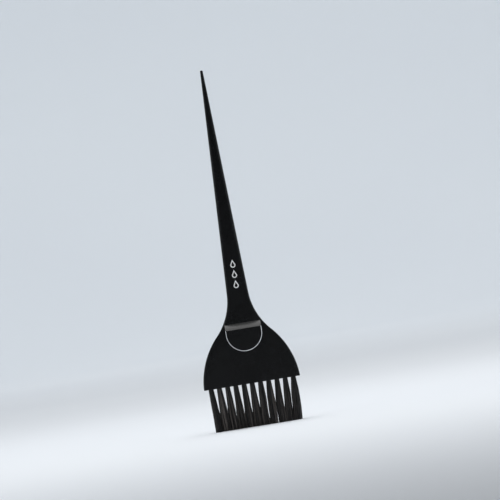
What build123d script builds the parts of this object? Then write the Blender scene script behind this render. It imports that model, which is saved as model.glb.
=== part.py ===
from build123d import *
from math import atan, cos, floor, radians, sin, sqrt
import os

# Tint brush for hair colour: one moulded handle with a pointed parting tail and a wide flat head, a bowl
# hook that stands forward from the head over a through window, and two rows of bristle tufts, each folded
# round a flat metal anchor and driven into a blind socket in the head's lower face.
#
# Millimetres. +Z runs up the handle to the tail's tip, +X across the head, and -Y is the front, where the
# bowl hook stands. The origin is the middle of the trimmed bristle edge.

# ---- Handle outline, seen from the front
bristle_length = 26.0        # free length of the tufts, from the head's face to the trimmed edge
handle_length = 190.0        # head's lower face to the tail's tip
head_width = 58.4            # across the two lower corners
neck_width = 13.0            # across the taper, just above the flare
neck_rise = 55.0             # height above the head's face at which neck_width is measured
tail_width = 1.6             # across the tail just under its tip
flare_radius = 37.2          # hollow curve from the neck out to the shoulders
shoulder_radius = 47.8       # full curve from the flare down to the lower corners
corner_lean = 2.2            # degrees by which the sides still lean in at the lower corners

# ---- Handle thickness, seen from the side: a plain wedge
head_depth = 8.8             # front to back at the head's face
tail_depth = 1.7             # front to back just under the tail's tip
edge_round = 1.2             # rounding of the head's long edges, front and back
tail_fullness = 0.92         # edge rounding at the tail's tip, as a share of its half depth
tip_round = 0.5              # rounding of the tail's tip
tail_sections = 8            # sections that shape the tail
join_rise = 0.5              # least height of the tail's first section above the flare
rim_round = 0.45             # rounding round the head's lower face

# ---- Bowl hook and its window
window_width = 21.7          # the D-shaped window through the head
window_rise = 19.6           # height of the window's lowest point above the head's face
window_height = 13.7         # lowest point of the window to the underside of the hook's root
hook_slit = 0.27             # gap seen at the sides between the tongue and the window
hook_tip_slit = 0.42         # gap seen below the tongue's tip
hook_reach = 2.3             # clear gap between the head's front face and the tongue, for a bowl's rim
hook_thickness = 1.4         # tongue, front to back
ramp_height = 3.5            # sloping root that carries the tongue
ramp_crown = 0.22            # how far the slope is crowned in its middle
hook_edge_round = 0.35       # rounding of the tongue's front edge

# ---- Tufts and sockets
side_wall = 2.7              # least wall between the last socket of a row and the head's corner
column_pitch = 5.0           # between sockets in a row
column_draw = 0.2            # by which the tufts stand closer than that at the trimmed edge
row_pitch = 3.8              # between the two rows of sockets
row_draw = 0.6               # by which the rows stand closer than that at the trimmed edge
socket_radius = 1.4          # tuft socket
socket_depth = 8.0           # head's face to the rounded end of the socket
tuft_slack = 0.02            # radial gap between a tuft and its socket
tip_gap = 0.4                # gap between neighbouring tufts at the trimmed edge
tip_corner = 1.0             # rounding of a tuft's corners at the trimmed edge

# ---- Anchors: a flat piece of wire across each socket
anchor_bite = 0.25           # how far each end is driven into the socket's wall
anchor_thickness = 0.4       # flat wire, front to back
anchor_height = 1.8          # flat wire, along the socket
anchor_cover = 1.7           # folded filaments between the anchor and the socket's end

# ---- Flex of the bristle field, as one hinge line across the head
hinge_margin = 0.3           # by which the round joint reaches past the tufts, and stops under the head
hinge_gap = 0.15             # clearance on each side of that round joint

# ---- Worked out
head_z = bristle_length
top_z = head_z + handle_length
neck_z = head_z + neck_rise
hinge_radius = row_pitch / 2 + socket_radius + hinge_margin
hinge_z = head_z - hinge_radius - hinge_margin
columns = 1 + floor((head_width - 2 * side_wall - 2 * socket_radius) / column_pitch)
depth_slope = (head_depth - tail_depth) / 2 / handle_length
window_low = head_z + window_rise
hook_root_z = window_low + window_height
ramp_top = hook_root_z + ramp_height
beyond = head_width          # long enough to reach past the part in any cut
spare = 5.0                  # height by which a blank runs past where it is trimmed


def outline_arcs():
    """Centres of the flare and shoulder arcs and the heights at which they meet the taper and each other."""
    lean = atan((neck_width - tail_width) / 2 / (top_z - neck_z))
    across = Vector(cos(lean), 0, sin(lean))
    along = Vector(-sin(lean), 0, cos(lean))
    taper = across.dot(Vector(tail_width / 2, 0, top_z))
    corner = Vector(head_width / 2, 0, head_z)
    corner_turn = radians(corner_lean)
    shoulder = corner - Vector(cos(corner_turn), 0, sin(corner_turn)) * shoulder_radius
    outward = taper + flare_radius - across.dot(shoulder)
    upward = sqrt((flare_radius + shoulder_radius) ** 2 - outward**2)
    flare = shoulder + across * outward + along * upward
    taper_foot = flare - across * flare_radius
    meeting = shoulder + (flare - shoulder) * (shoulder_radius / (flare_radius + shoulder_radius))
    return flare, shoulder, taper_foot.Z, meeting.Z


flare_centre, shoulder_centre, taper_z, meeting_z = outline_arcs()
join_z = max(neck_z, taper_z + join_rise)       # where the flat head block ends and the tail begins


def half_width(z):
    """Half the handle's width at height z: shoulder arc, then flare arc, then straight taper."""
    if z < meeting_z:
        return shoulder_centre.X + sqrt(shoulder_radius**2 - (z - shoulder_centre.Z) ** 2)
    if z < taper_z:
        return flare_centre.X - sqrt(flare_radius**2 - (z - flare_centre.Z) ** 2)
    share = (top_z - z) / (top_z - taper_z)
    taper_half = flare_centre.X - sqrt(flare_radius**2 - (taper_z - flare_centre.Z) ** 2)
    return tail_width / 2 + share * (taper_half - tail_width / 2)


def half_depth(z):
    """Half the handle's thickness at height z."""
    return head_depth / 2 - depth_slope * (z - head_z)


def edge_radius(z):
    """Rounding of the tail's long edges at height z: that of the head at the join, nearly full at the tip."""
    share = (z - join_z) / (top_z - join_z)
    fullness = edge_round / half_depth(join_z)
    fullness += (tail_fullness - fullness) * sin(radians(90 * share))
    return fullness * half_depth(z)


def steps(low, high, count):
    """Evenly spaced heights from low up to high."""
    return [low + (high - low) * n / count for n in range(count + 1)]


def side_cut(points):
    """A prism across the whole part, from (y, z) points of its side view."""
    return extrude(Plane.YZ * make_face(Polyline(*points, close=True)), amount=beyond, both=True)


def head_outline(high):
    """The handle's front view from the head's face up to height high, on the taper."""
    def point(z):
        return half_width(z), z

    def arc(low, high):
        return ThreePointArc(point(low), point((low + high) / 2), point(high))

    side = Curve() + [arc(head_z, meeting_z), arc(meeting_z, taper_z), Line(point(taper_z), point(high))]
    across = [Line((-half_width(z), z), point(z)) for z in (head_z, high)]
    return make_face(Curve() + [side, mirror(side, Plane.YZ), *across])


def head_block():
    """The flat head and flare, with plane front and back faces that close in towards the neck."""
    high = join_z + spare
    low_half, high_half = half_depth(head_z - spare), half_depth(high + spare)
    plate = extrude(Plane.XZ * head_outline(high), amount=beyond, both=True)
    plate &= side_cut([
        (-low_half, head_z - spare), (low_half, head_z - spare),
        (high_half, high + spare), (-high_half, high + spare),
    ])
    long_edges = [
        edge for edge in plate.edges()
        if abs(edge.center().Y) > edge_round and head_z + edge_round < edge.center().Z < high - edge_round
    ]
    block = fillet(long_edges, edge_round)
    block = split(block, Plane(origin=(0, 0, join_z), z_dir=(0, 0, 1)), keep=Keep.BOTTOM)
    return fillet(block.faces().sort_by(Axis.Z)[0].edges(), rim_round)


def tail(base):
    """The tapering tail on the head block's top face, whose section grows rounder towards its tip."""
    sections = [
        Pos(0, 0, z) * RectangleRounded(2 * half_width(z), 2 * half_depth(z), edge_radius(z))
        for z in steps(join_z, top_z, tail_sections)[1:]
    ]
    blank = loft([base, *sections])
    return fillet(blank.faces().sort_by(Axis.Z)[-1].edges(), tip_round)


def d_shape(width, low, high):
    """A prism, front to back, with a flat top at height high and a half-round end at height low."""
    radius = width / 2
    middle = low + radius
    flat = Pos(0, (middle + high) / 2) * Rectangle(width, high - middle)
    end = Pos(0, middle) * Circle(radius) & Pos(0, middle - radius / 2) * Rectangle(width, radius)
    return extrude(Plane.XZ * (flat + end), amount=beyond, both=True)


def tongue_planes(z):
    """Inner and outer faces of the tongue at height z, as y values: both run with the head's front."""
    inner = -half_depth(z) - hook_reach
    return inner, inner - hook_thickness


def bowl_hook():
    """The D-shaped tongue and its crowned sloping root, which runs into the head's front face."""
    tongue_width = window_width - 2 * hook_slit
    tongue_low = window_low + hook_tip_slit
    low_inner, low_outer = tongue_planes(tongue_low)
    high_inner, high_outer = tongue_planes(hook_root_z)
    plate = side_cut([
        (low_outer, tongue_low), (low_inner, tongue_low), (high_inner, hook_root_z), (high_outer, hook_root_z),
    ]) & d_shape(tongue_width, tongue_low, hook_root_z)
    plate = fillet(plate.faces().sort_by(Axis.Y)[0].edges().sort_by(Axis.Z)[:-1], hook_edge_round)
    foot = Vector(high_outer, hook_root_z)
    top = Vector(-half_depth(ramp_top), ramp_top)
    slope = top - foot
    crown = (foot + top) / 2 + Vector(-slope.Y, slope.X).normalized() * ramp_crown
    side = Curve() + [Polyline(foot, (0, hook_root_z), (0, ramp_top), top), ThreePointArc(top, crown, foot)]
    root = extrude(Plane.YZ * make_face(side), amount=window_width / 2, both=True)
    return plate + (root & extrude(Plane.XZ * head_outline(top_z), amount=beyond, both=True))


def places():
    """Name, socket place and trimmed-edge place of every tuft."""
    for row, side in (("front", -1), ("rear", 1)):
        for column in range(columns):
            offset = column - (columns - 1) / 2
            socket = (offset * column_pitch, side * row_pitch / 2)
            tip = (offset * (column_pitch - column_draw), side * (row_pitch - row_draw) / 2)
            yield f"{row}_{column + 1:02d}", socket, tip


def socket_plug(radius, depth):
    """A round-ended plug that stands in a socket, from the head's face upwards."""
    straight = depth - radius
    shaft = Pos(0, 0, head_z + straight / 2) * Cylinder(radius, straight)
    return shaft + Pos(0, 0, head_z + straight) * Sphere(radius)


def anchor():
    """The flat wire that holds one folded tuft, lying across its socket."""
    length = 2 * (socket_radius + anchor_bite)
    middle = head_z + socket_depth - anchor_cover - anchor_height / 2
    return Pos(0, 0, middle) * Box(length, anchor_thickness, anchor_height)


def hinge_round(radius):
    """The round joint along the hinge line."""
    return Pos(0, 0, hinge_z) * Rot(0, 90, 0) * Cylinder(radius, 2 * beyond)


def free_tuft(foot, tip):
    """One tuft from the head's face to the trimmed edge, before it is parted at the hinge line."""
    mouth = 2 * (socket_radius - tuft_slack)
    tip_width = column_pitch - column_draw - tip_gap
    tip_depth = row_pitch - row_draw - tip_gap
    sections = [
        Pos(*tip, 0) * RectangleRounded(tip_width, tip_depth, tip_corner),
        Pos(*foot, head_z) * RectangleRounded(mouth, mouth, mouth / 2 - tuft_slack),
    ]
    return loft(sections)


def write(name, shape):
    shape.label = name
    export_step(shape, f"parts/{name}.step")


os.makedirs("parts", exist_ok=True)

block = head_block()
handle = block + tail(block.faces().sort_by(Axis.Z)[-1])
handle = handle - d_shape(window_width, window_low, hook_root_z) + bowl_hook()
socket = socket_plug(socket_radius, socket_depth) + anchor()
plug = socket_plug(socket_radius - tuft_slack, socket_depth - tuft_slack) - anchor()
above_hinge = Pos(0, 0, hinge_z + beyond) * Box(2 * beyond, 2 * beyond, 2 * beyond)
anchors = []

for name, foot, tip in places():
    at = Pos(*foot, 0)
    handle -= at * socket
    anchors.append(at * anchor())
    tuft = free_tuft(foot, tip)
    write(f"tuft_{name}", tuft - (above_hinge - hinge_round(hinge_radius - hinge_gap)))
    root = (tuft & above_hinge) - hinge_round(hinge_radius + hinge_gap)
    write(f"tuft_root_{name}", root + at * plug)

write("handle", handle)
write("anchor_staples", Compound(children=anchors))
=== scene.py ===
from math import cos, pi, radians, sin, sqrt

import bmesh
import bpy
from mathutils import Matrix, Vector


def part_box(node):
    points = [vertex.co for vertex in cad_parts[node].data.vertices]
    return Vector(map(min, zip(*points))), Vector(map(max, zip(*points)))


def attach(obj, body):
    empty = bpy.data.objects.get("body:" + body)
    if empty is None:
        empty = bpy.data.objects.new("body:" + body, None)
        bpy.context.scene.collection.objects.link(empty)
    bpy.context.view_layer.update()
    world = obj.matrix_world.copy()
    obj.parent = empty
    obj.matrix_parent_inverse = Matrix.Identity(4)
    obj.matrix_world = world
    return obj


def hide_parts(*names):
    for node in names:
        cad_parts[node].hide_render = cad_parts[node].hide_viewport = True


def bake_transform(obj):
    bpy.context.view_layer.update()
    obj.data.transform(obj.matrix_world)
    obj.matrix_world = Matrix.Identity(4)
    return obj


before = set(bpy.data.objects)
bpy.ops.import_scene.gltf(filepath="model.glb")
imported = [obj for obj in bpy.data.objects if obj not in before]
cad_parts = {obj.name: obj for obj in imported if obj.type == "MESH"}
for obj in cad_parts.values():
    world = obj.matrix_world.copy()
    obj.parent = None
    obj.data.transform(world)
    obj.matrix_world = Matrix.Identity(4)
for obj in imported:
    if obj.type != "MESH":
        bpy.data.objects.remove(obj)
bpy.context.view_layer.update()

# Tint brush: a moulded black handle with a parting tail and a bowl hook, and two rows of black nylon tufts.
# Metres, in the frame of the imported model: +Z up the handle, -Y to the front, and the origin in the middle
# of the trimmed bristle edge.

MM = 0.001

# ---- Places, from the frame
HANDLE_LOW, HANDLE_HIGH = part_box("handle")
HEAD_Z = HANDLE_LOW.z                       # the head's lower face, where the tufts come out
HANDLE_LENGTH = HANDLE_HIGH.z - HEAD_Z
FREE_LENGTH = HEAD_Z                        # the trimmed edge is at z = 0
COLUMNS = sum(name.startswith("tuft_front_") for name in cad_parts)


def tuft_foot(row, column):
    """Middle of a tuft where it leaves its socket, read from the root that fills that socket."""
    low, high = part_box(f"tuft_root_{row}_{column + 1:02d}")
    return Vector(((low.x + high.x) / 2, (low.y + high.y) / 2, HEAD_Z))


# ======================================================================== node writing
class Tree:
    """Writes nodes into a material's or a geometry tree."""

    def __init__(self, tree):
        self.tree = tree

    def add(self, kind, settings=None, **sockets):
        """One node: its settings, then values or links for its inputs, by name or as n0, n1... by place."""
        node = self.tree.nodes.new(kind)
        for name, value in (settings or {}).items():
            setattr(node, name, value)
        for name, value in sockets.items():
            key = name.replace("_", " ")
            by_place = name[0] == "n" and name[1:].isdigit()
            self.put(node.inputs[int(name[1:]) if by_place else key], value)
        return node

    def put(self, socket, value):
        """Links a value or another node's output to a socket, or sets its constant."""
        if isinstance(value, Number):
            value = value.socket
        if isinstance(value, bpy.types.NodeSocket):
            self.tree.links.new(value, socket)
        else:
            socket.default_value = value

    def number(self, socket):
        return Number(self, socket)

    def mix_colour(self, share, first, second):
        node = self.add("ShaderNodeMix", {"data_type": "RGBA"}, n0=share, n6=first, n7=second)
        return node.outputs[2]


class Number:
    """A socket that carries a number, so that node maths reads as Python."""

    def __init__(self, tree, socket):
        self.tree = tree
        self.socket = socket

    def maths(self, operation, *operands):
        places = {f"n{place}": operand for place, operand in enumerate(operands)}
        node = self.tree.add("ShaderNodeMath", {"operation": operation}, **places)
        return Number(self.tree, node.outputs[0])

    def __add__(self, other):
        return self.maths("ADD", self, other)

    def __radd__(self, other):
        return self.maths("ADD", other, self)

    def __sub__(self, other):
        return self.maths("SUBTRACT", self, other)

    def __rsub__(self, other):
        return self.maths("SUBTRACT", other, self)

    def __mul__(self, other):
        return self.maths("MULTIPLY", self, other)

    def __rmul__(self, other):
        return self.maths("MULTIPLY", other, self)

    def __truediv__(self, other):
        return self.maths("DIVIDE", self, other)

    def __pow__(self, other):
        return self.maths("POWER", self, other)

    def floor(self):
        return self.maths("FLOOR", self)

    def sine(self):
        return self.maths("SINE", self)

    def cosine(self):
        return self.maths("COSINE", self)

    def least(self, other):
        return self.maths("MINIMUM", self, other)

    def most(self, other):
        return self.maths("MAXIMUM", self, other)

    def soft_least(self, other, softness):
        return self.maths("SMOOTH_MIN", self, other, softness)

    def above(self, other):
        return self.maths("GREATER_THAN", self, other)

    def between(self, low, high):
        """0 at low, 1 at high, held to that range."""
        node = self.tree.add("ShaderNodeMapRange", {}, Value=self, From_Min=low, From_Max=high)
        return Number(self.tree, node.outputs[0])


def new_material(name, plain_colour):
    """A material with one principled shader, and the tree to write its nodes in."""
    material = bpy.data.materials.new(name)
    material.use_nodes = True
    material.diffuse_color = plain_colour
    tree = Tree(material.node_tree)
    shader = material.node_tree.nodes["Principled BSDF"]
    return material, tree, shader


def noise(tree, place, scale, detail=2.0):
    node = tree.add("ShaderNodeTexNoise", {}, Vector=place, Scale=scale, Detail=detail, Roughness=0.5)
    return tree.number(node.outputs[0])


def stretched(tree, place, scale):
    """A place with each axis scaled by its own factor, for grain that runs one way."""
    return tree.add("ShaderNodeMapping", {}, Vector=place, Scale=scale).outputs[0]


# ======================================================================== materials
def moulded_black():
    """Black moulded plastic: a satin skin with faint flow, rubbed gloss, dust and hairline scratches."""
    material, tree, shader = new_material("moulded_black", (0.01, 0.01, 0.01, 1))
    place = tree.add("ShaderNodeTexCoord").outputs["Object"]
    along = stretched(tree, place, (900.0, 900.0, 30.0))
    skin = noise(tree, place, 2600.0, 3.0)
    cloud = noise(tree, place, 45.0, 3.0)
    hairline = noise(tree, along, 1.0).between(0.66, 0.74)
    shade = tree.mix_colour(
        cloud.between(0.3, 0.7), (0.0018, 0.0018, 0.002, 1), (0.0034, 0.0034, 0.0036, 1))
    tree.put(shader.inputs["Base Color"], shade)
    tree.put(shader.inputs["Roughness"], 0.2 + 0.1 * cloud + 0.05 * skin + 0.12 * hairline)
    height = skin * 0.4 - hairline * 0.5
    bump = tree.add("ShaderNodeBump", {}, Strength=0.05, Distance=0.0001, Height=height)
    tree.put(shader.inputs["Normal"], bump.outputs[0])
    shader.inputs["IOR"].default_value = 1.45
    shader.inputs["Specular IOR Level"].default_value = 0.3
    return material


def nylon_black():
    """Black nylon filaments, from black to a dark warm grey, glossier at the tips: partly random tone per
    filament, partly painted highlight on some locks and in streaks along them, and painted shade that
    darkens them towards the roots.
    """
    material, tree, shader = new_material("nylon_black", (0.02, 0.019, 0.018, 1))
    strand, along, clump = (
        tree.number(tree.add("ShaderNodeAttribute", {"attribute_name": name}).outputs["Fac"])
        for name in ("strand", "along", "clump"))
    place = tree.add("ShaderNodeTexCoord").outputs["Object"]
    # Streaks of painted highlight that run along the filaments.
    painted_sheen_streak = noise(tree, stretched(tree, place, (700.0, 700.0, 40.0)), 1.0)
    # Painted highlight: some locks are mixed towards the warm grey, standing in for sheen on them. The
    # per-filament part is partly random tone.
    painted_sheen_and_root_shade = clump.between(0.5, 1.0) ** 1.5 * 0.75 + (strand ** 3.0) * 0.3
    # Painted shade: the colour is pulled towards black near the roots and is at full strength from about
    # half the free length.
    painted_sheen_and_root_shade = painted_sheen_and_root_shade * (0.35 + 1.3 * painted_sheen_streak) * along.between(-0.2, 0.45)
    shade = tree.mix_colour(painted_sheen_and_root_shade, (0.0025, 0.0024, 0.0022, 1), (0.165, 0.144, 0.13, 1))
    tree.put(shader.inputs["Base Color"], shade)
    tree.put(shader.inputs["Roughness"], 0.42 - 0.1 * along + 0.12 * strand)
    shader.inputs["IOR"].default_value = 1.5
    return material


def pad_ink():
    """White pad-printing ink, thin and slightly speckled."""
    material, tree, shader = new_material("pad_ink", (0.85, 0.85, 0.85, 1))
    place = tree.add("ShaderNodeTexCoord").outputs["Object"]
    speckle = noise(tree, place, 3500.0)
    worn = noise(tree, place, 700.0, 3.0).between(0.62, 0.75)
    shade = tree.mix_colour(worn * 0.5 + speckle * 0.1, (0.88, 0.88, 0.87, 1), (0.45, 0.45, 0.45, 1))
    tree.put(shader.inputs["Base Color"], shade)
    tree.put(shader.inputs["Roughness"], 0.5 + 0.2 * speckle)
    return material


def drawn_wire():
    """Flat drawn brass wire, with fine lines along it."""
    material, tree, shader = new_material("drawn_wire", (0.72, 0.58, 0.33, 1))
    place = tree.add("ShaderNodeTexCoord").outputs["Object"]
    drawn = noise(tree, stretched(tree, place, (200.0, 4000.0, 4000.0)), 1.0, 3.0)
    shade = tree.mix_colour(drawn, (0.62, 0.47, 0.24, 1), (0.8, 0.66, 0.4, 1))
    tree.put(shader.inputs["Base Color"], shade)
    tree.put(shader.inputs["Roughness"], 0.25 + 0.2 * drawn)
    shader.inputs["Metallic"].default_value = 1.0
    return material


def pale_stage():
    """The floor: one pale matt grey."""
    material, tree, shader = new_material("pale_stage", (0.8, 0.82, 0.84, 1))
    place = tree.add("ShaderNodeTexCoord").outputs["Object"]
    soft = noise(tree, place, 1.5, 1.0)
    shade = tree.mix_colour(soft, (0.7, 0.73, 0.77, 1), (0.76, 0.79, 0.82, 1))
    tree.put(shader.inputs["Base Color"], shade)
    shader.inputs["Roughness"].default_value = 0.9
    shader.inputs["Specular IOR Level"].default_value = 0.1
    return material


# ======================================================================== bristles
FILAMENTS = 150               # in each tuft
FILAMENT_RADIUS = 0.1 * MM
FILAMENT_SIDES = 4
FILAMENT_STEPS = 12           # points along each filament
GOLDEN_TURN = 2.39996         # radians from one filament to the next, which spreads them evenly
SOCKET_RADIUS = 1.38 * MM     # of a tuft where it leaves its socket
ROW_SPREAD = 0.5 * MM         # by which a tuft is thicker, front to back, at the trimmed edge
CORNER_SOFTNESS = 0.2 * MM    # rounding of the corner where a gap has closed
LOCK_EDGE = 0.95              # furthest place of a lock's core, as a share of the tuft's radius
STRAY_SHARE = 0.035           # of the filaments, which stand out from the rest
END_BULGE = 0.8 * MM          # of the last tuft's outer side
HIDDEN = 3.0 * MM             # length of each filament inside its socket that is modelled
GAP_HALF = 1.1 * MM           # half the clear gap between two tufts at their sockets
# How each gap between tufts closes, from left to right, with the field's two outer sides first and last:
# the share of the free length at which it has closed; how far each side then runs on, in mm (below zero, a
# slit is left); the share at which that changes, and by how many mm from there on (above zero, it shuts).
GAPS = (
    (1.50, 0.00, 1.0, 0.0),
    (0.66, 0.25, 1.0, 0.0),
    (0.56, 0.30, 1.0, 0.0),
    (0.67, 0.25, 1.0, 0.0),
    (0.75, 0.25, 1.0, 0.0),
    (0.71, 0.25, 1.0, 0.0),
    (0.63, 0.25, 1.0, 0.0),
    (0.46, -0.26, 0.85, 0.5),
    (0.53, 0.02, 0.6, -0.3),
    (0.72, 0.20, 1.0, 0.0),
    (0.47, -0.18, 0.62, 0.4),
    (0.95, 0.10, 1.0, 0.0),
)
GAP_COLUMNS = (("closes", 1.0), ("limit", MM), ("turns", 1.0), ("late", MM))


def declare_inputs(tree, wanted):
    """A geometry tree's named inputs, each with its value unless another is given, and its output."""
    for name, kind, default in wanted:
        socket = tree.interface.new_socket(name, in_out="INPUT", socket_type=kind)
        if default is not None:
            socket.default_value = default
    tree.interface.new_socket("Geometry", in_out="OUTPUT", socket_type="NodeSocketGeometry")


def bristle_row_tree():
    """Filaments that stand in the sockets given as points, which hold how the gaps beside each close."""
    group = bpy.data.node_groups.new("bristle_row", "GeometryNodeTree")
    declare_inputs(group, (
        ("Sockets", "NodeSocketGeometry", None),
        ("Filaments", "NodeSocketInt", FILAMENTS),
        ("Steps", "NodeSocketInt", FILAMENT_STEPS),
        ("Filament Radius", "NodeSocketFloat", FILAMENT_RADIUS),
        ("Socket Radius", "NodeSocketFloat", SOCKET_RADIUS),
        ("Free Length", "NodeSocketFloat", FREE_LENGTH),
        ("Hidden Length", "NodeSocketFloat", HIDDEN),
        ("Half Gap", "NodeSocketFloat", GAP_HALF),
        ("Draw In", "NodeSocketFloat", 0.045),
        ("Row Draw In", "NodeSocketFloat", 0.2),
        ("Locks", "NodeSocketFloat", 2.0),
        ("Lock Pull", "NodeSocketFloat", 0.85),
        ("Lock Wander", "NodeSocketFloat", 1.0 * MM),
        ("Gap Wander", "NodeSocketFloat", 0.9 * MM),
        ("Spread", "NodeSocketFloat", 0.28 * MM),
        ("Trim", "NodeSocketFloat", 0.35 * MM),
        ("Seed", "NodeSocketInt", 1),
        ("Material", "NodeSocketMaterial", None),
    ))
    tree = Tree(group)
    given = tree.add("NodeGroupInput").outputs
    inputs = {name: tree.number(given[name]) for name in given.keys() if name and name != "Sockets"}
    sockets = given["Sockets"]

    def attribute(name):
        node = tree.add("GeometryNodeInputNamedAttribute", {"data_type": "FLOAT"}, Name=name)
        return node.outputs["Attribute"]

    def of_tuft(value, tuft, kind="FLOAT"):
        node = tree.add(
            "GeometryNodeSampleIndex", {"data_type": kind}, Geometry=sockets, Value=value, Index=tuft)
        return node.outputs["Value"]

    def chance(offset, low, high):
        """A random number for each filament, the same at all its points."""
        node = tree.add(
            "FunctionNodeRandomValue", {"data_type": "FLOAT"}, ID=strand, Seed=inputs["Seed"] + offset)
        node.inputs[2].default_value = low
        node.inputs[3].default_value = high
        return tree.number(node.outputs[1])

    steps, per_tuft = inputs["Steps"], inputs["Filaments"]
    size = tree.add("GeometryNodeAttributeDomainSize", {"component": "MESH"}, Geometry=sockets)
    tufts = tree.number(size.outputs["Point Count"])
    points = tree.add("GeometryNodePoints", {}, Count=tufts * per_tuft * steps).outputs[0]

    index = tree.number(tree.add("GeometryNodeInputIndex").outputs[0])
    strand = (index / steps + 0.001).floor()
    step = index - strand * steps
    tuft = (strand / per_tuft + 0.0001).floor()
    nth = strand - tuft * per_tuft
    along = step / (steps - 1.0)
    share = along * (inputs["Hidden Length"] + inputs["Free Length"]) - inputs["Hidden Length"]
    share = (share / inputs["Free Length"]).most(0.0)

    foot = tree.add("ShaderNodeSeparateXYZ", {}, Vector=of_tuft(
        tree.add("GeometryNodeInputPosition").outputs[0], tuft, "FLOAT_VECTOR"))
    foot_x, foot_y, foot_z = (tree.number(socket) for socket in foot.outputs)
    reach = ((nth + 0.5) / per_tuft) ** 0.5
    turn = nth * GOLDEN_TURN + tuft * 1.7
    across = reach * turn.cosine()
    deep = reach * turn.sine()

    def side_reach(side):
        """How far the tuft's side has moved out from its socket's edge, along the length."""
        closes, limit, turns, late = (
            tree.number(of_tuft(attribute(f"{side}_{name}"), tuft)) for name, _ in GAP_COLUMNS)
        opening = inputs["Half Gap"] * share / closes
        late_share = (share - turns).most(0.0) / (1.001 - turns)
        return opening.soft_least(inputs["Half Gap"] + limit, CORNER_SOFTNESS) + late * late_share

    def wander(gap):
        """Sideways wander of a gap's middle line along the length."""
        line = tree.add("ShaderNodeCombineXYZ", {}, X=gap * 7.31, Y=share * 2.6)
        return (noise(tree, line.outputs[0], 1.0, 1.0) - 0.5) * inputs["Gap Wander"] * share

    def lock_wander(turn):
        """Sideways wander of a filament's lock along the length."""
        line = tree.add("ShaderNodeCombineXYZ", {}, X=lot[0] * 91.0 + turn, Y=lot[1] * 57.0, Z=share * 2.2)
        return (noise(tree, line.outputs[0], 1.0, 1.0) - 0.5) * inputs["Lock Wander"] * share

    cell = tree.add(
        "ShaderNodeCombineXYZ", {}, X=across * inputs["Locks"], Y=deep * inputs["Locks"],
        Z=tuft * 3.71 + inputs["Seed"] * 1.3)
    voronoi = tree.add(
        "ShaderNodeTexVoronoi", {"voronoi_dimensions": "3D"}, Vector=cell.outputs[0], Scale=1.0)
    core = tree.add("ShaderNodeSeparateXYZ", {}, Vector=voronoi.outputs["Position"])
    lot = [tree.number(socket) for socket in tree.add(
        "ShaderNodeSeparateXYZ", {}, Vector=voronoi.outputs["Color"]).outputs]
    pull = inputs["Lock Pull"] * share ** 0.7 * chance(8, 0.35, 1.0)
    core_across, core_deep = (
        (tree.number(core.outputs[axis]) / inputs["Locks"]).least(LOCK_EDGE).most(-LOCK_EDGE)
        for axis in (0, 1))
    across = across + (core_across - across) * pull
    deep = deep + (core_deep - deep) * pull

    to_right = across * 0.5 + 0.5
    spread = across.most(0.0) * side_reach("right") + across.least(0.0) * side_reach("left")
    bulge = tree.number(of_tuft(attribute("bulge"), tuft)) * (share * pi).sine() * to_right
    x = foot_x + across * inputs["Socket Radius"] + spread + bulge
    x = x + wander(tuft) * (1.0 - to_right) + wander(tuft + 1.0) * to_right
    x = x + lock_wander(0.0) * (1.0 - (across * across).least(1.0))
    y = foot_y * (1.0 - inputs["Row Draw In"] * share)
    y = y + deep * (inputs["Socket Radius"] + share * ROW_SPREAD)
    y = y + lock_wander(31.0) * 0.6

    stray = 1.0 + 2.5 * chance(7, 0.0, 1.0).above(1.0 - STRAY_SHARE)
    sway = share ** 1.5 * inputs["Spread"] * stray
    bow = (share * pi).sine() * inputs["Spread"] * 0.5
    x = x + chance(1, -1.0, 1.0) * sway + chance(2, -1.0, 1.0) * bow
    y = y + chance(3, -1.0, 1.0) * sway * 0.7 + chance(4, -1.0, 1.0) * bow
    x = x * (1.0 - inputs["Draw In"] * share)
    run = inputs["Hidden Length"] + inputs["Free Length"] - inputs["Trim"] * chance(5, 0.0, 1.0) ** 2.0
    z = foot_z + inputs["Hidden Length"] - along * run

    placed = tree.add("GeometryNodeSetPosition", {}, Geometry=points, Position=tree.add(
        "ShaderNodeCombineXYZ", {}, X=x, Y=y, Z=z).outputs[0]).outputs[0]
    for name, value in (("strand", chance(6, 0.0, 1.0)), ("along", share), ("clump", lot[0])):
        placed = tree.add(
            "GeometryNodeStoreNamedAttribute", {"data_type": "FLOAT", "domain": "POINT"},
            Geometry=placed, Name=name, Value=value).outputs[0]
    curves = tree.add(
        "GeometryNodePointsToCurves", {}, Points=placed, Curve_Group_ID=strand, Weight=index).outputs[0]
    section = tree.add(
        "GeometryNodeCurvePrimitiveCircle", {}, Resolution=FILAMENT_SIDES,
        Radius=inputs["Filament Radius"]).outputs[0]
    solid = tree.add(
        "GeometryNodeCurveToMesh", {}, Curve=curves, Profile_Curve=section, Fill_Caps=True).outputs[0]
    solid = tree.add("GeometryNodeSetShadeSmooth", {}, Geometry=solid).outputs[0]
    solid = tree.add("GeometryNodeRealizeInstances", {}, Geometry=solid).outputs[0]
    solid = tree.add("GeometryNodeSetMaterial", {}, Geometry=solid, Material=inputs["Material"]).outputs[0]
    tree.add("NodeGroupOutput", {}, Geometry=solid)
    return group


def link(obj):
    bpy.context.scene.collection.objects.link(obj)
    return obj


def grown(name, base, group, settings):
    """The plain mesh that a geometry tree grows from a base mesh, as an object of that name."""
    seed = link(bpy.data.objects.new(f"{name}_seed", base))
    modifier = seed.modifiers.new("grow", "NODES")
    modifier.node_group = group
    for item in group.interface.items_tree:
        if item.in_out == "INPUT" and item.name in settings:
            modifier[item.identifier] = settings[item.name]
    seen = seed.evaluated_get(bpy.context.evaluated_depsgraph_get())
    mesh = bpy.data.meshes.new_from_object(seen)
    bpy.data.objects.remove(seed)
    mesh.name = name
    return link(bpy.data.objects.new(name, mesh))


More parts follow.
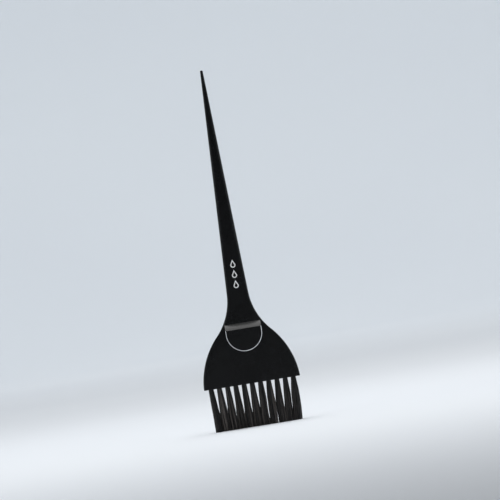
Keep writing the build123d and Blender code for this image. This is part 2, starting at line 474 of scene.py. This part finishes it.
def socket_points(row):
    """One point for each socket of a row, with how the gaps beside its tuft close."""
    mesh = bpy.data.meshes.new(f"sockets_{row}")
    mesh.from_pydata([tuft_foot(row, column) for column in range(COLUMNS)], [], [])
    values = {"bulge": [0.0] * (COLUMNS - 1) + [END_BULGE]}
    for side, step in (("left", 0), ("right", 1)):
        for place, (name, unit) in enumerate(GAP_COLUMNS):
            values[f"{side}_{name}"] = [GAPS[column + step][place] * unit for column in range(COLUMNS)]
    for name, numbers in values.items():
        mesh.attributes.new(name, "FLOAT", "POINT").data.foreach_set("value", numbers)
    return mesh


def bristles(material):
    """Both rows of tufts, each row one piece that bends from the handle to the bristle field."""
    group = bristle_row_tree()
    for seed, row in enumerate(("front", "rear")):
        settings = {"Seed": 100 * seed + 11, "Material": material}
        piece = grown(f"bristles_{row}", socket_points(row), group, settings)
        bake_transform(piece)
        nodes = [
            f"{kind}_{row}_{column + 1:02d}" for kind in ("tuft", "tuft_root") for column in range(COLUMNS)]
        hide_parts(*nodes)


# ======================================================================== handle
HEAD_DEPTH = 8.8 * MM         # front to back at the head's face
TAIL_DEPTH = 1.7 * MM         # front to back at the tail's tip
MERGE_WITHIN = 0.002 * MM     # points of the handle's mesh that count as one
SHARP_EDGE = radians(32)      # edges that turn by more stay sharp

MARK_Z = 91.5 * MM            # middle of the printed mark on the neck
MARK_PITCH = 6.2 * MM         # from one drop to the next
DROP_LENGTH = 4.9 * MM
DROP_RADIUS = 1.55 * MM       # of the round belly
DROP_STROKE = 0.62 * MM       # width of the printed line
DROP_POINT_STROKE = 1.9       # how much thicker the line is at the point than at the belly
DROP_SHOULDER = 0.95          # radians from the point round to the flanks' feet, on a very long drop
DROP_CORNERS = 24             # points round the belly
INK_THICKNESS = 0.03 * MM


def smooth_handle(material):
    """The handle's shape, doubles merged, shaded smooth over its roundings and flat on its faces."""
    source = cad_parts["handle"]
    mesh = source.data.copy()
    mesh.name = "handle_moulding"
    shape = bmesh.new()
    shape.from_mesh(mesh)
    bmesh.ops.remove_doubles(shape, verts=shape.verts, dist=MERGE_WITHIN)
    for face in shape.faces:
        face.smooth = True
    for edge in shape.edges:
        if len(edge.link_faces) == 2:
            edge.smooth = edge.calc_face_angle() < SHARP_EDGE
    shape.to_mesh(mesh)
    shape.free()
    mesh.materials.clear()
    mesh.materials.append(material)
    piece = link(bpy.data.objects.new("handle_moulding", mesh))
    weighted = piece.modifiers.new("face_weight", "WEIGHTED_NORMAL")
    weighted.keep_sharp = True
    weighted.weight = 100
    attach(piece, "handle")
    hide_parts("handle")


def front_y(z):
    """The handle's front plane at height z: it slopes evenly from the head's face to the tail's tip."""
    return -HEAD_DEPTH / 2 + (z - HEAD_Z) * (HEAD_DEPTH - TAIL_DEPTH) / 2 / HANDLE_LENGTH


def drop_outline(inset):
    """A drop's outline about its belly's middle, point upwards: a round belly and two straight flanks."""
    radius = DROP_RADIUS - inset
    apex = DROP_LENGTH - DROP_RADIUS - inset * DROP_POINT_STROKE
    flank = radius / apex
    start = pi / 2 - sqrt(1 - flank * flank) * DROP_SHOULDER
    points = [(0.0, apex)]
    for n in range(DROP_CORNERS + 1):
        angle = start - (pi + 2 * start) * n / DROP_CORNERS
        points.append((radius * cos(angle), radius * sin(angle)))
    return points


def printed_mark(material):
    """Three open drops down the neck, in ink a little proud of the front face."""
    shape = bmesh.new()
    for place in (-1, 0, 1):
        middle = MARK_Z + place * MARK_PITCH
        rings = []
        for lift in (0.0, INK_THICKNESS):
            for inset in (0.0, DROP_STROKE):
                ring = []
                for x, z in drop_outline(inset):
                    height = middle + z
                    ring.append(shape.verts.new((x, front_y(height) - lift, height)))
                rings.append(ring)
        back_out, back_in, front_out, front_in = rings
        count = len(back_out)
        for n in range(count):
            m = (n + 1) % count
            shape.faces.new((front_out[n], front_out[m], front_in[m], front_in[n]))
            shape.faces.new((back_out[m], back_out[n], back_in[n], back_in[m]))
            shape.faces.new((front_out[m], front_out[n], back_out[n], back_out[m]))
            shape.faces.new((front_in[n], front_in[m], back_in[m], back_in[n]))
    bmesh.ops.recalc_face_normals(shape, faces=shape.faces)
    mesh = bpy.data.meshes.new("printed_mark")
    shape.to_mesh(mesh)
    shape.free()
    mesh.materials.append(material)
    piece = link(bpy.data.objects.new("printed_mark", mesh))
    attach(piece, "handle")


def anchors(material):
    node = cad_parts["anchor_staples"]
    for slot in node.material_slots:
        slot.material = material


# ======================================================================== stage, light, camera
def lathe(name, profile, count, material):
    """A surface turned about the vertical axis through the origin, from (radius, height) points."""
    shape = bmesh.new()
    rings = []
    for radius, height in profile:
        if radius == 0:
            rings.append([shape.verts.new((0, 0, height))] * count)
            continue
        rings.append([
            shape.verts.new((radius * cos(2 * pi * n / count), radius * sin(2 * pi * n / count), height))
            for n in range(count)
        ])
    for inner, outer in zip(rings, rings[1:]):
        for n in range(count):
            m = (n + 1) % count
            corners = [inner[n], outer[n], outer[m], inner[m]]
            shape.faces.new(list(dict.fromkeys(corners)))
    for face in shape.faces:
        face.smooth = True
    bmesh.ops.recalc_face_normals(shape, faces=shape.faces)
    mesh = bpy.data.meshes.new(name)
    shape.to_mesh(mesh)
    shape.free()
    mesh.materials.append(material)
    return link(bpy.data.objects.new(name, mesh))


def stage(material):
    """A pale floor that curves up into a low wall all round, far behind the brush."""
    flat, bend, height, steps, sides = 3.0, 2.6, 0.2, 24, 96
    profile = [(0.0, 0.0), (0.3, 0.0), (1.0, 0.0), (2.0, 0.0), (flat, 0.0)]
    for n in range(1, steps + 1):
        angle = pi / 2 * n / steps
        profile.append((flat + bend * sin(angle), bend * (1 - cos(angle))))
    profile.append((flat + bend, bend + height))
    lathe("seamless_floor", profile, sides, material)


def soft_box(name, place, aim, size, power, colour=(1.0, 1.0, 1.0)):
    """A rectangular light at a place, turned towards what it lights."""
    light = bpy.data.lights.new(name, "AREA")
    light.shape = "RECTANGLE"
    light.size, light.size_y = size
    light.energy = power
    light.color = colour
    obj = link(bpy.data.objects.new(name, light))
    obj.location = place
    obj.rotation_euler = (Vector(aim) - Vector(place)).to_track_quat("-Z", "Y").to_euler()


def lights():
    """A dim sky, lights over the brush and the far floor, three wall lights and two side strips."""
    world = bpy.data.worlds.new("studio")
    bpy.context.scene.world = world
    world.use_nodes = True
    tree = Tree(world.node_tree)
    ground = world.node_tree.nodes["Background"]
    ground.inputs["Color"].default_value = (0.80, 0.87, 0.95, 1)
    ground.inputs["Strength"].default_value = 0.05
    soft_box("key", (0.0, 0.0, 1.3), (0, 0.0, 0), (1.1, 0.9), 14.0)
    soft_box("overhead", (0.0, 1.5, 2.2), (0, 1.5, 0), (2.6, 3.2), 34.0)
    for name, x, y in (("rear", 0, 1), ("left", -1, 0), ("right", 1, 0)):
        place, aim = (2.4 * x, 2.4 * y, 2.8), (5.6 * x, 5.6 * y, 1.0)
        soft_box(f"wall_light_{name}", place, aim, (4.0, 1.2), 66.0, (0.93, 0.97, 1.0))
    for name, side in (("left", -1), ("right", 1)):
        soft_box(f"strip_{name}", (1.25 * side, -0.95, 0.45), (0, 0, 0.08), (0.25, 1.0), 2.4)


def camera():
    """Straight on to the front from a long lens, rolled so that the brush leans to the left as it rises."""
    lean = radians(9.25)
    aim = Vector((11.6 * MM, 0, 105 * MM))
    distance = 3.2
    half_view = 150 * MM
    data = bpy.data.cameras.new("camera")
    data.sensor_width = 36.0
    data.lens = data.sensor_width / 2 * distance / half_view
    data.clip_start, data.clip_end = 0.05, 50.0
    obj = link(bpy.data.objects.new("camera", data))
    right = Vector((cos(lean), 0, -sin(lean)))
    up = Vector((sin(lean), 0, cos(lean)))
    back = Vector((0, -1, 0))
    turn = Matrix((right, up, back)).transposed().to_4x4()
    obj.matrix_world = Matrix.Translation(aim + back * distance) @ turn
    bpy.context.scene.camera = obj


camera()
lights()
stage(pale_stage())
bpy.context.scene.view_settings.view_transform = "Standard"
smooth_handle(moulded_black())
printed_mark(pad_ink())
anchors(drawn_wire())
bristles(nylon_black())
